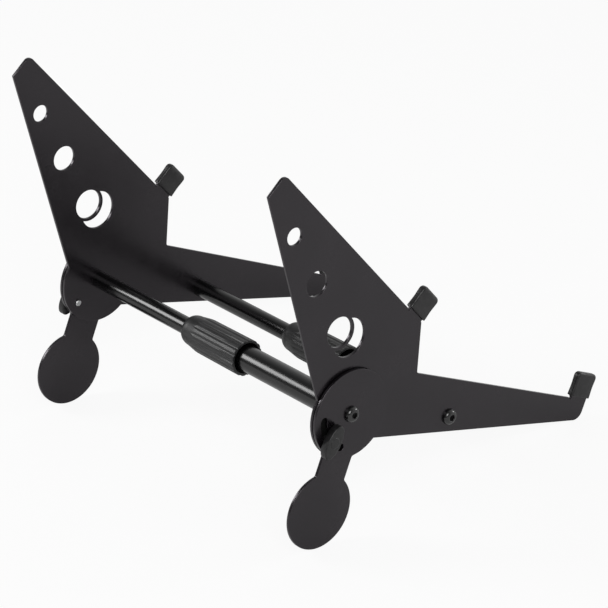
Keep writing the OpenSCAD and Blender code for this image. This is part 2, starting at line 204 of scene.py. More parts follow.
class Shader(NodeBuilder):
    """Builds the nodes of one material."""

    def __init__(self, name: str) -> None:
        """Makes an empty material and finds the place on the object.

        Args:
            name: The material's name.
        """
        self.material = bpy.data.materials.new(name)
        super().__init__(fresh_nodes(self.material))
        self.place = self.wire("ShaderNodeTexCoord", output="Object")

    def noise(self, size_mm: float, detail: float = 2.0, stretch: Triple = (1.0, 1.0, 1.0)) -> Wire:
        """Noise from 0 to 1.

        Args:
            size_mm: Size of the grains in millimetres.
            detail: Octaves of finer noise.
            stretch: Lengthening of the grains along each axis.

        Returns:
            The noise value.
        """
        place = self.wire(
            "ShaderNodeMapping",
            {"Vector": self.place, "Scale": tuple(1.0 / part for part in stretch)},
            vector_type="POINT",
        )
        grains = {"Vector": place, "Scale": 1.0 / (size_mm * MM), "Detail": detail}
        return self.wire("ShaderNodeTexNoise", grains)

    def cells(self, size_mm: float) -> Wire:
        """Distance to the nearest of points that are about size_mm apart."""
        scale = {"Vector": self.place, "Scale": 1.0 / (size_mm * MM)}
        return self.wire("ShaderNodeTexVoronoi", scale, output="Distance", feature="F1")

    def mix(self, share: Wire | float, first: Wire | Triple, second: Wire | Triple) -> Wire:
        """Blends two colours, all first at 0 and all second at 1."""
        inputs = {0: share, 6: first, 7: second}
        return self.wire("ShaderNodeMix", inputs, output=2, data_type="RGBA")

    def bump(self, height: Wire, depth_mm: float, under: Wire | None = None) -> Wire:
        """A normal bent by a height from 0 to 1.

        Args:
            height: The height.
            depth_mm: Depth in millimetres of a height of 1.
            under: A normal to start from.

        Returns:
            The bent normal.
        """
        base = {} if under is None else {"Normal": under}
        dents = {"Height": height, "Distance": depth_mm * MM, "Strength": 1.0, **base}
        return self.wire("ShaderNodeBump", dents)

    def across(self) -> Wire:
        """The part of the surface's normal along X."""
        return self.split(self.wire("ShaderNodeNewGeometry", output="Normal"))[0]


# Finishes


@dataclass(frozen=True)
class Finish:
    """What all finishes have: a slot, a body colour, a roughness and a specular level."""

    slot: str
    body_colour: Triple
    sheen: float
    specular: float = 0.5

    def paint(self, s: Shader) -> Inputs:
        """Works out what varies over the surface.

        Args:
            s: The shader's builder.

        Returns:
            The shader's inputs by name, of which a finish gives those that it needs.
        """
        raise NotImplementedError

    def material(self) -> bpy.types.Material:
        """Builds the material.

        Returns:
            The material.
        """
        s = Shader(self.slot)
        inputs = {"Specular IOR Level": self.specular, **self.paint(s)}
        s.node("ShaderNodeOutputMaterial", {"Surface": s.wire("ShaderNodeBsdfPrincipled", inputs)})
        return s.material


@dataclass(frozen=True)
class PowderCoat(Finish):
    """Satin black powder coat on sheet steel, with orange peel and rubbed edges, whose lighter
    colour is partly wear and partly a painted highlight.
    """

    slot: str = "powder_coat"
    body_colour: Triple = (0.003, 0.0024, 0.0031)
    sheen: float = 0.25
    specular: float = 0.53
    dust_colour: Triple = (0.0066, 0.0056, 0.0067)
    # Rim colour: worn powder coat, made lighter still as a painted highlight of the lit edges
    worn_and_lit_edge_colour: Triple = (0.022, 0.021, 0.023)
    tint: Triple = (1.0, 0.93, 1.0)

    def paint(self, s: Shader) -> Inputs:
        """Clouds of dust, scuffs, and edges worn where a sheet's rim turns, their lighter colour
        partly a painted highlight.

        Args:
            s: The shader's builder.

        Returns:
            The shader's inputs by name.
        """
        grain, clouds = s.noise(0.28), s.noise(38.0, 3.0)
        rub = s.noise(5.0, 4.0, (1.0, 2.6, 1.0))
        # The rim of a sheet is where the normal leaves the X axis but isn't square to it; the
        # colour lightened there is partly wear and partly a painted highlight of the lit edges
        lean = abs(s.across())
        worn = (lean * (1.0 - lean) * 4.0).lowest(1.0) * rub.step(0.42, 0.68)
        dusty = s.mix(clouds.step(0.35, 0.75) * 0.55, self.body_colour, self.dust_colour)
        rough = (clouds - 0.5) * 0.12 + (grain - 0.5) * 0.06 + self.sheen
        return {
            # Painted highlight mixed with wear: the rims are lightened towards the rim colour
            "Base Color": s.mix(worn * 0.4, dusty, self.worn_and_lit_edge_colour),
            "Roughness": rough - rub.step(0.6, 0.74) * 0.05,
            "Normal": s.bump(grain, 0.005, s.bump(s.noise(1.1, 3.0), 0.01)),
            "Specular Tint": self.tint,
        }


@dataclass(frozen=True)
class GlossEnamel(Finish):
    """Glossy black enamel on steel tube, with turning marks and rubs from sliding."""

    slot: str = "tube_gloss"
    body_colour: Triple = (0.0018, 0.0018, 0.002)
    sheen: float = 0.2
    rub_colour: Triple = (0.01, 0.01, 0.0105)

    def paint(self, s: Shader) -> Inputs:
        """Lengthwise rubs and rings of turning marks.

        Args:
            s: The shader's builder.

        Returns:
            The shader's inputs by name.
        """
        rings = s.noise(0.9, stretch=(1.0, 14.0, 14.0))
        clouds = s.noise(24.0, stretch=(3.0, 1.0, 1.0))
        rub = s.noise(1.3, 3.0, (26.0, 1.0, 1.0)).step(0.56, 0.76) * clouds.step(0.4, 0.62)
        return {
            "Base Color": s.mix(rub * 0.5, self.body_colour, self.rub_colour),
            "Roughness": (clouds - 0.5) * 0.06 + rub * 0.08 + rings * 0.03 + self.sheen,
            "Normal": s.bump(rings, 0.0006, s.bump(s.noise(2.4), 0.0025)),
        }


@dataclass(frozen=True)
class BlackOxide(Finish):
    """Blackened steel of the screws, oily and with bright specks."""

    slot: str = "screw_black"
    body_colour: Triple = (0.004, 0.004, 0.0042)
    sheen: float = 0.08
    specular: float = 0.75
    worn_colour: Triple = (0.08, 0.078, 0.075)

    def paint(self, s: Shader) -> Inputs:
        """Smears of oil and specks worn to the metal.

        Args:
            s: The shader's builder.

        Returns:
            The shader's inputs by name.
        """
        worn = s.noise(0.6, 4.0).step(0.58, 0.72)
        return {
            "Base Color": s.mix(worn * 0.5, self.body_colour, self.worn_colour),
            "Metallic": worn * 0.5,
            "Roughness": (s.noise(2.6) - 0.5) * 0.04 + self.sheen + worn * 0.1,
            "Normal": s.bump(s.noise(0.18), 0.001),
        }


@dataclass(frozen=True)
class SoftRubber(Finish):
    """Matt black rubber of the caps, with a bloom and fine moulding grain."""

    slot: str = "rubber_cap"
    body_colour: Triple = (0.007, 0.0066, 0.007)
    sheen: float = 0.31
    specular: float = 0.45
    bloom_colour: Triple = (0.018, 0.017, 0.018)

    def paint(self, s: Shader) -> Inputs:
        """A cloudy bloom, grain and shallow dents.

        Args:
            s: The shader's builder.

        Returns:
            The shader's inputs by name.
        """
        dents = s.noise(2.8)
        bloom = s.noise(6.0, 3.0).step(0.42, 0.72)
        return {
            "Base Color": s.mix(bloom * 0.5, self.body_colour, self.bloom_colour),
            "Roughness": (dents - 0.5) * 0.12 + bloom * 0.08 + self.sheen,
            "Normal": s.bump(s.noise(0.22, 3.0), 0.014, s.bump(dents, 0.05)),
        }


@dataclass(frozen=True)
class Moulded(Finish):
    """Plain moulded plastic with lighter flow marks, which other plastics build on."""

    slot: str = "nylon_black"
    body_colour: Triple = (0.01, 0.01, 0.0102)
    sheen: float = 0.4
    light_colour: Triple = (0.024, 0.024, 0.024)

    def flow(self, s: Shader, marks: Wire, top: float, spread: float) -> Inputs:
        """Colour and roughness of the flow marks.

        Args:
            s: The shader's builder.
            marks: Noise of the marks.
            top: Noise value from which the marks are at their lightest.
            spread: How far the roughness varies.

        Returns:
            The shader's inputs.
        """
        light = s.mix(marks.step(0.4, top) * 0.6, self.body_colour, self.light_colour)
        return {"Base Color": light, "Roughness": (marks - 0.5) * spread + self.sheen}

    def paint(self, s: Shader) -> Inputs:
        """Flow marks along the piece and a fine grain."""
        marks = s.noise(3.0, 3.0, (2.0, 1.0, 1.0))
        return {**self.flow(s, marks, 0.7, 0.16), "Normal": s.bump(s.noise(0.4), 0.012)}


@dataclass(frozen=True)
class GripPlastic(Moulded):
    """Charcoal moulded plastic of the clamp sleeves, grained and scratched."""

    slot: str = "sleeve_grip"
    body_colour: Triple = (0.012, 0.012, 0.0125)
    sheen: float = 0.43
    light_colour: Triple = (0.024, 0.024, 0.025)

    def paint(self, s: Shader) -> Inputs:
        """Flow marks along the sleeve, and scratches round it.

        Args:
            s: The shader's builder.

        Returns:
            The shader's inputs by name.
        """
        grain = s.noise(0.3, 3.0)
        scratch = s.noise(0.5, stretch=(1.0, 9.0, 9.0)).step(0.62, 0.74)
        inputs = self.flow(s, s.noise(5.0, 3.0, (3.0, 1.0, 1.0)), 0.7, 0.14)
        inputs["Roughness"] += (grain - 0.5) * 0.08 + scratch * 0.1
        return {**inputs, "Normal": s.bump(grain, 0.007, s.bump(scratch, 0.004))}


@dataclass(frozen=True)
class KnobPlastic(Moulded):
    """Grained dark plastic of the wing knobs."""

    slot: str = "knob_plastic"
    body_colour: Triple = (0.0045, 0.0045, 0.0048)
    light_colour: Triple = (0.01, 0.01, 0.0104)

    def paint(self, s: Shader) -> Inputs:
        """Flow marks and a grain of small pits."""
        inputs = self.flow(s, s.noise(4.0, 3.0), 0.72, 0.16)
        return {**inputs, "Normal": s.bump(s.cells(0.55), 0.02)}


@dataclass(frozen=True)
class PressedFibre(Finish):
    """Dull pressed fibre of the friction discs, with short strands on its rim; both colours are
    darkened as painted shade, where the disc shows through the leg's slot.
    """

    slot: str = "fibre_disc"
    # Kept darker than the fibre's own colour: painted shade for the dark slot in the leg
    body_colour: Triple = (0.0016, 0.0016, 0.0015)
    sheen: float = 0.8
    specular: float = 0.15
    painted_shade_strand_colour: Triple = (0.005, 0.0048, 0.0045)

    def paint(self, s: Shader) -> Inputs:
        """Strands that lie across the rim, in colours darkened as painted shade.

        Args:
            s: The shader's builder.

        Returns:
            The shader's inputs by name.
        """
        strands = s.noise(0.5, 3.0, (1.0, 3.0, 1.0))
        return {
            "Base Color": s.mix(strands.step(0.5, 0.7), self.body_colour, self.painted_shade_strand_colour),
            "Roughness": (strands - 0.5) * 0.2 + self.sheen,
            "Normal": s.bump(strands, 0.03),
        }


@dataclass(frozen=True)
class ZincPlate(Finish):
    """Bright zinc plate of the knob studs and tube plugs, with a cloudy passivation."""

    slot: str = "zinc_steel"
    body_colour: Triple = (0.56, 0.57, 0.58)
    sheen: float = 0.3
    cloud_colour: Triple = (0.38, 0.38, 0.36)

    def paint(self, s: Shader) -> Inputs:
        """Clouds, and rings as of a thread.

        Args:
            s: The shader's builder.

        Returns:
            The shader's inputs by name.
        """
        clouds = s.noise(1.6, 4.0)
        rings = s.noise(0.3, stretch=(1.0, 8.0, 8.0))
        return {
            "Base Color": s.mix(clouds.step(0.4, 0.7), self.body_colour, self.cloud_colour),
            "Metallic": 1.0,
            "Roughness": (clouds - 0.5) * 0.2 + rings * 0.08 + self.sheen,
            "Normal": s.bump(rings, 0.01),
        }


class Paintshop:
    """Makes each finish once, dresses CAD nodes and hands over new pieces."""

    finishes = (
        PowderCoat(), GlossEnamel(), BlackOxide(), SoftRubber(), GripPlastic(),
        KnobPlastic(), Moulded(), PressedFibre(), ZincPlate(),
    )

    def __init__(self) -> None:
        """Builds the materials of all finishes."""
        self.materials = {finish.slot: finish.material() for finish in self.finishes}

    def dress_nodes(self, slot: str, *nodes: str) -> None:
        """Gives CAD nodes the material of a slot, and leaves their meshes alone.

        Args:
            slot: The slot.
            *nodes: The CAD nodes.
        """
        for node in nodes:
            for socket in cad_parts[node].material_slots:
                socket.link = "OBJECT"
                socket.material = self.materials[slot]

    def hand_over(self, piece: bpy.types.Object, slot: str, body: str, *nodes: str) -> None:
        """Paints a new piece, lets it ride on a body and stand for CAD nodes, and reports it.

        Args:
            piece: The piece.
            slot: The slot of its finish.
            body: The body that it rides on.
            *nodes: The CAD nodes that it stands for.
        """
        piece.data.materials.clear()
        piece.data.materials.append(self.materials[slot])
        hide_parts(*nodes)
        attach(piece, body)
        triangles = sum(len(face.vertices) - 2 for face in piece.data.polygons)
        log.info("%s rides on %s, %d triangles", piece.name, body, triangles)


# Meshes


def unit(angle: float) -> Vector:
    """Direction in a plane, from an angle in degrees."""
    return Vector((math.cos(math.radians(angle)), math.sin(math.radians(angle))))


def quarter(start: float, steps: int) -> list[Vector]:
    """Directions of a quarter turn in even steps, from an angle in degrees."""
    return [unit(start + 90 * step / steps) for step in range(steps + 1)]


def turn(angle: float, axis: str = "Z") -> Matrix:
    """A turn by an angle in degrees."""
    return Matrix.Rotation(math.radians(angle), 4, axis)


def add_object(name: str, mesh: bpy.types.Mesh) -> bpy.types.Object:
    """Adds a mesh to the scene as an object at the origin.

    Args:
        name: Name of the object.
        mesh: Its mesh.

    Returns:
        The object.
    """
    made = bpy.data.objects.new(name, mesh)
    bpy.context.scene.collection.objects.link(made)
    return made


def finish_mesh(name: str, bm: bmesh.types.BMesh, sharp_angle: float) -> bpy.types.Mesh:
    """Turns a bmesh into a smooth mesh with its sharp edges marked.

    Args:
        name: Name of the mesh.
        bm: The bmesh, which is freed.
        sharp_angle: Angle in degrees from which an edge stays sharp.

    Returns:
        The mesh.
    """
    for face in bm.faces:
        face.smooth = True
    for edge in bm.edges:
        if len(edge.link_faces) == 2:
            edge.smooth = edge.calc_face_angle(0.0) < math.radians(sharp_angle)
    mesh = bpy.data.meshes.new(name)
    bm.to_mesh(mesh)
    bm.free()
    return mesh


def place_mesh(mesh: bpy.types.Mesh, matrix: Matrix) -> None:
    """Moves a mesh into place, and turns its faces back out if the place is mirrored.

    Args:
        mesh: The mesh.
        matrix: The place.
    """
    mesh.transform(matrix)
    if matrix.determinant() < 0:
        mesh.flip_normals()
    mesh.update()


def bake_modifiers(piece: bpy.types.Object) -> None:
    """Replaces a piece's mesh by its evaluated one, and removes its modifiers.

    Args:
        piece: The piece.
    """
    bpy.context.view_layer.update()
    evaluated = piece.evaluated_get(bpy.context.evaluated_depsgraph_get())
    mesh = bpy.data.meshes.new_from_object(evaluated)
    piece.modifiers.clear()
    piece.data = mesh


def loft(
    name: str, rings: Sequence[Sequence[Vector]], here: Matrix, plane: Matrix,
    sharp_angle: float = 40.0,
) -> bpy.types.Object:
    """Skins a row of rings, closes both ends and sets the skin in its place.

    Args:
        name: Name of the new piece.
        rings: Rings with the same number of points, in millimetres.
        here: Place of the skin in a plane, in millimetres.
        plane: Place of the plane in the stand, in metres.
        sharp_angle: Angle in degrees from which an edge stays sharp.

    Returns:
        The piece.
    """
    bm = bmesh.new()
    rows = [[bm.verts.new(point) for point in ring] for ring in rings]
    for low, high in zip(rows, rows[1:]):
        for i, point in enumerate(low):
            j = (i + 1) % len(low)
            bm.faces.new((point, low[j], high[j], high[i]))
    bm.faces.new(tuple(reversed(rows[0])))
    bm.faces.new(tuple(rows[-1]))
    bmesh.ops.recalc_face_normals(bm, faces=bm.faces)
    mesh = finish_mesh(name, bm, sharp_angle)
    mesh.transform(Matrix.Scale(MM, 4) @ here)
    place_mesh(mesh, plane)
    return add_object(name, mesh)


# Geometry Nodes


class PartTree(NodeBuilder):
    """A Geometry Nodes tree with named sizes, which ends in one finished mesh."""

    def __init__(self, name: str, sizes: dict[str, float | int]) -> None:
        """Makes the tree and its inputs, whole numbers where a size is one.

        Args:
            name: Name of the tree.
            sizes: The named sizes, in metres or as counts.
        """
        super().__init__(bpy.data.node_groups.new(name, "GeometryNodeTree"))
        self.sizes = sizes
        sockets = [("Geometry", "INPUT", "Geometry"), ("Material", "INPUT", "Material")]
        sockets += [
            (key, "INPUT", "Int" if isinstance(size, int) else "Float")
            for key, size in sizes.items()
        ]
        for key, side, kind in (*sockets, ("Geometry", "OUTPUT", "Geometry")):
            self.tree.interface.new_socket(key, in_out=side, socket_type=f"NodeSocket{kind}")
        self.source = self.node("NodeGroupInput")

    def size(self, name: str) -> Wire:
        """One of the named inputs."""
        return Wire(self, self.source.outputs[name])

    def close(self, geometry: Wire) -> None:
        """Ends the tree with real geometry, its material and its output.

        Args:
            geometry: What the tree has made.
        """
        real = self.wire("GeometryNodeRealizeInstances", {0: geometry})
        dressed = {"Geometry": real, "Material": self.size("Material")}
        self.node("NodeGroupOutput", {0: self.wire("GeometryNodeSetMaterial", dressed)})

    def spin(self, profile: Wire, rule: Callable[..., Wire]) -> Wire:
        """Spins the points of a profile into a closed skin, ring by ring.

        Args:
            profile: The profile, a row of points with radius in X, a mark in Y, height in Z.
            rule: Gives the position from angle, radius, mark and height.

        Returns:
            The skin, with its seam merged.
        """
        columns = self.size("Columns")
        count = self.wire("GeometryNodeAttributeDomainSize", {0: profile}, "Point Count")
        grid = self.wire(
            "GeometryNodeMeshGrid",
            {"Size X": 1.0, "Size Y": 1.0, "Vertices X": columns + 1.0, "Vertices Y": count},
        )
        index = self.wire("GeometryNodeInputIndex")
        column = self.math("FLOOR", (index + 0.5) / count)
        row = index - column * count
        places = self.wire("GeometryNodeInputPosition")
        point = self.wire(
            "GeometryNodeSampleIndex",
            {"Geometry": profile, "Value": places, "Index": row},
            data_type="FLOAT_VECTOR",
        )
        place = rule(column / columns * math.tau, *self.split(point))
        skin = self.wire("GeometryNodeSetPosition", {"Geometry": grid, "Position": place})
        return self.wire("GeometryNodeMergeByDistance", {"Geometry": skin, "Distance": WELD})

    def grow(
        self,
        name: str,
        points: Sequence[Triple],
        values: dict[str, Sequence[float]],
        material: bpy.types.Material,
        place: Matrix,
        sharp_angle: float,
    ) -> bpy.types.Object:
        """Runs the tree on a set of points and keeps its result as a plain mesh.

        Args:
            name: Name of the new piece.
            points: The points, in millimetres.
            values: Named values of the points, which the tree reads.
            material: The material that the tree sets.
            place: Place of the result.
            sharp_angle: Angle in degrees from which an edge stays sharp.

        Returns:
            The piece, without modifiers.
        """
        source = bpy.data.meshes.new(f"{name}_points")
        source.from_pydata([tuple(part * MM for part in point) for point in points], [], [])
        for key, numbers in values.items():
            source.attributes.new(key, "FLOAT", "POINT").data.foreach_set("value", numbers)
        piece = add_object(name, source)
        modifier = piece.modifiers.new("grow", "NODES")
        modifier.node_group = self.tree
        given = {**self.sizes, "Material": material}
        for item in self.tree.interface.items_tree:
            if item.in_out == "INPUT" and item.name in given:
                modifier[item.identifier] = given[item.name]
        bake_modifiers(piece)
        bm = bmesh.new()
        bm.from_mesh(piece.data)
        bmesh.ops.remove_doubles(bm, verts=bm.verts, dist=WELD)
        bmesh.ops.recalc_face_normals(bm, faces=bm.faces)
        piece.data = finish_mesh(name, bm, sharp_angle)
        place_mesh(piece.data, place)
        return piece


# The stand; sizes in millimetres


@dataclass(frozen=True)
class WingPlane:
    """The plane of a wing, where the leg's pivot is the origin."""

    wing_gap: float = 352.0
    sheet_t: float = 3.0
    disc_t: float = 1.0
    pivot_y: float = 112.845
    pivot_z: float = 117.426
    tilt: float = 18.063
    rest_angle: float = 34.5
    rest_offset: float = 103.3
    arm_angle: float = 9.5
    arm_offset: float = 44.2
    front_tube: Pair = (127.7, -11.7)
    stud_radius: float = 31.0
    stud_angle: float = 226.0

    @property
    def leg_face(self) -> float:
        """Distance of a leg's outer face from the wing's inner face."""
        return 2 * self.sheet_t + self.disc_t

    def matrix(self, side: Side) -> Matrix:
        """Places something drawn in the plane, outward along Z, on a side of the stand.

        Args:
            side: The side.

        Returns:
            The place, in metres.
        """
        pivot = Vector((-self.wing_gap / 2, self.pivot_y, self.pivot_z)) * MM
        left = Matrix.Translation(pivot) @ turn(-90) @ turn(90, "X") @ turn(-self.tilt)
        return left if side is Side.LEFT else Matrix.Diagonal((-1.0, 1.0, 1.0, 1.0)) @ left


@dataclass
class SheetSkin:
    """Cut steel sheet with softened rims, made from its CAD solid."""

    shop: Paintshop
    rim: float = 0.4
    rim_steps: int = 3
    rim_from: float = 40.0
    crease: float = 25.0
    flat: float = 0.9999
    joint: float = 2e-6
    level: float = 0.4

    def refill(self, piece: bpy.types.Object) -> None:
        """Fills the two flat sides again inside their softened rims, and shades them flat.

        Args:
            piece: The skin, with its rims softened.
        """
        bm = bmesh.new()
        bm.from_mesh(piece.data)
        for side in (-1.0, 1.0):
            flats = [face for face in bm.faces if face.normal.x * side > self.flat]
            bmesh.ops.delete(bm, geom=flats, context="FACES")
            rims = [edge for edge in bm.edges if edge.is_boundary]
            bmesh.ops.triangle_fill(
                bm, edges=rims, use_beauty=True, use_dissolve=False, normal=(side, 0.0, 0.0)
            )
        mesh = finish_mesh(piece.name, bm, self.crease)
        # A zero vector leaves a corner's own normal as it is
        normals = {
            vertex: Vector((round(face.normal.x), 0.0, 0.0))
            for face in mesh.polygons
            if abs(face.normal.x) > self.flat
            for vertex in face.vertices
        }
        mesh.normals_split_custom_set([
            normals.get(corner.vertex_index, Vector()) for corner in mesh.loops
        ])
        piece.data = mesh

    def build(self, name: str, node: str, body: str) -> None:
        """Makes the skin of a sheet-metal node.

        Args:
            name: Name of the new piece.
            node: The CAD node that it stands for.
            body: The body that it rides on.
        """
        bm = bmesh.new()
        bm.from_mesh(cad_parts[node].data)
        bmesh.ops.remove_doubles(bm, verts=bm.verts, dist=self.joint)
        bmesh.ops.dissolve_limit(
            bm, angle_limit=math.radians(self.level), verts=bm.verts, edges=bm.edges
        )
        piece = add_object(name, finish_mesh(name, bm, self.crease))
        bevel = piece.modifiers.new("rim", "BEVEL")
        bevel.width = self.rim * MM
        bevel.segments = self.rim_steps
        bevel.limit_method = "ANGLE"
        bevel.angle_limit = math.radians(self.rim_from)
        bevel.use_clamp_overlap = False
        bevel.loop_slide = False
        bake_modifiers(piece)
        self.refill(piece)
        self.shop.hand_over(piece, "powder_coat", body, node)


@dataclass
class TabCap:
    """Rubber boot over a tab of the wing, lofted from its open foot to its round top."""

    shop: Paintshop
    plane: WingPlane
    wall: float = 1.8
    cover: float = 2.0
    lift: float = 2.2
    edge_r: float = 2.1
    corner_r: float = 4.0
    foot_r: float = 0.5
    pocket_r: float = 0.3
    least_r: float = 0.4
    fit: float = 0.05
    sink: float = 0.22
    foot_steps: int = 3
    side_steps: int = 10
    round_steps: int = 7

    def section(self, half_w: float, half_t: float, radius: float, y: float) -> list[Vector]:
        """A rectangle with round corners, counter-clockwise, at a height.

        Args:
            half_w: Half of its width, along X.
            half_t: Half of its thickness, along Z.
            radius: Radius of its corners.
            y: Its height.

        Returns:
            Its points.
        """
        points: list[Vector] = []
        for index, (sx, sz) in enumerate(((1, 1), (-1, 1), (-1, -1), (1, -1))):
            middle = Vector((sx * (half_w - radius), sz * (half_t - radius)))
            for arm in quarter(90 * index, self.round_steps):
                x, z = middle + arm * radius
                points.append(Vector((x, y, z)))
        return points

    def rings(self, tab_w: float, tab_h: float) -> list[list[Vector]]:
        """The rings of the boot, from the roof of its pocket out over its foot to its top.

        Args:
            tab_w: Width of the tab.
            tab_h: Height of the tab.

        Returns:
            Rings in the boot's own frame: X along the tab's width, Y up, Z outward.
        """
        half_w, half_t = tab_w / 2 + self.wall, self.plane.sheet_t / 2 + self.cover
        pocket_w, pocket_t = tab_w / 2 + self.fit, self.plane.sheet_t / 2 + self.fit
        sole, top = self.lift + self.foot_r, tab_h + self.wall
        rows = [(pocket_w, pocket_t, self.pocket_r, y) for y in (tab_h + self.fit, sole)]
        for arm in quarter(-180, self.foot_steps):
            more = self.foot_r * (1 + arm.x)
            y = self.lift + self.foot_r * (1 + arm.y)
            rows.append((pocket_w + more, pocket_t + more, self.pocket_r + more, y))
        for arm in quarter(-90, self.foot_steps):
            less = self.foot_r * (1 - arm.x)
            y = self.lift + self.foot_r * (1 + arm.y)
            rows.append((half_w - less, half_t - less, self.edge_r - less / 2, y))
        for step in range(1, self.side_steps):
            share = step / self.side_steps
            less = self.sink * math.sin(math.pi * share) ** 2
            y = sole + (top - self.corner_r - sole) * share
            rows.append((half_w - less, half_t - less, self.edge_r, y))
        for arm in quarter(0, self.round_steps):
            rows.append((
                half_w - self.corner_r * (1 - arm.x),
                half_t - self.edge_r * (1 - arm.x),
                max(self.edge_r * (0.25 + 0.75 * arm.x), self.least_r),
                top - self.corner_r * (1 - arm.y),
            ))
        return [self.section(*row) for row in rows]

    def build(self, side: Side, kind: str, slope: float, foot: float, tab: Triple) -> None:
        """Makes one boot in its place.

        Args:
            side: The wing it sits on.
            kind: "lip" or "hook".
            slope: Slope in degrees of the edge that the tab stands on.
            foot: Height of that edge over the pivot, square to it.
            tab: Near side of the tab along that edge, its width and its height.
        """
        along, tab_w, tab_h = tab
        here = turn(-slope) @ Matrix.Translation((along + tab_w / 2, foot, self.plane.sheet_t / 2))
        rings = self.rings(tab_w, tab_h)
        piece = loft(f"{kind}_boot_{side.value}", rings, here, self.plane.matrix(side))
        self.shop.hand_over(piece, "rubber_cap", side.body, f"{kind}_cap_{side.value}")


@dataclass
class WingKnob:
    """Wing knob: a leaf-shaped wing with a low round boss, on a round collar."""

    shop: Paintshop
    plane: WingPlane
    length: float = 32.0
    width: float = 15.8
    thickness: float = 8.0
    rim_r: float = 1.2
    boss_r: float = 5.2
    boss_h: float = 0.45
    collar_r: float = 6.0
    collar_h: float = 2.0
    bore_r: float = 3.05
    bore_end: float = 5.8
    ease: float = 0.3
    turn_left: float = -17.0
    turn_right: float = -18.0
    steps: int = 80
    lower_steps: int = 6
    upper_steps: int = 7

    def outline(self, inset: float, z: float) -> list[Vector]:
        """Leaf-shaped ring of the wing, counter-clockwise.

        Args:
            inset: How far the ring is drawn in from the wing's widest one.
            z: Its height.

        Returns:
            Its points.
        """
        half_w, half_l = self.width / 2, self.length / 2
        points: list[Vector] = []
        for step in range(self.steps):
            arm = unit(360 * step / self.steps)
            normal = Vector((arm.x / half_w, arm.y / half_l)).normalized()
            x, y = arm.x * half_w - normal.x * inset, arm.y * half_l - normal.y * inset
            points.append(Vector((x, y, z)))
        return points

    def rings(self) -> list[list[Vector]]:
        """The knob's rings.

        Returns:
            Rings from the bore out over the collar to the middle of the face.
        """
        turns = [math.atan2(point.y, point.x) for point in self.outline(0.0, 0.0)]
        top = self.collar_h + self.thickness
        face = top - self.boss_h

        def circle(radius: float, z: float) -> list[Vector]:
            """A round ring, its points in the directions of the wing's points."""
            return [Vector((radius * math.cos(a), radius * math.sin(a), z)) for a in turns]

        rings = [circle(radius, z) for radius, z in (
            (self.bore_r, self.bore_end), (self.bore_r, self.ease),
            (self.bore_r + self.ease, 0.0), (self.collar_r - self.ease, 0.0),
            (self.collar_r, self.ease), (self.collar_r, self.collar_h - 0.4),
            (self.collar_r + 0.12, self.collar_h - 0.1),
        )]
        low = (self.collar_h, quarter(-90, self.lower_steps))
        high = (face - 2 * self.rim_r, quarter(0, self.upper_steps))
        for base, arms in (low, high):
            for arm in arms:
                z = base + self.rim_r * (1 + arm.y)
                rings.append(self.outline(self.rim_r * (1 - arm.x), z))
        return rings + [circle(self.boss_r - less, z) for less, z in (
            (0.0, face), (0.2, face + self.boss_h * 0.6), (0.7, top - 0.05), (1.6, top),
            (2.6, top),
        )]

    def build(self, side: Side) -> None:
        """Makes the knob of one side.

        Args:
            side: The side.
        """
        stud = unit(self.plane.stud_angle) * self.plane.stud_radius
        angle = self.turn_left if side is Side.LEFT else self.turn_right
        here = Matrix.Translation((stud.x, stud.y, self.plane.leg_face)) @ turn(angle)
        name = side.value
        piece = loft(f"knob_shell_{name}", self.rings(), here, self.plane.matrix(side))
        self.shop.hand_over(piece, "knob_plastic", f"knob_{name}", f"wing_knob_{name}")


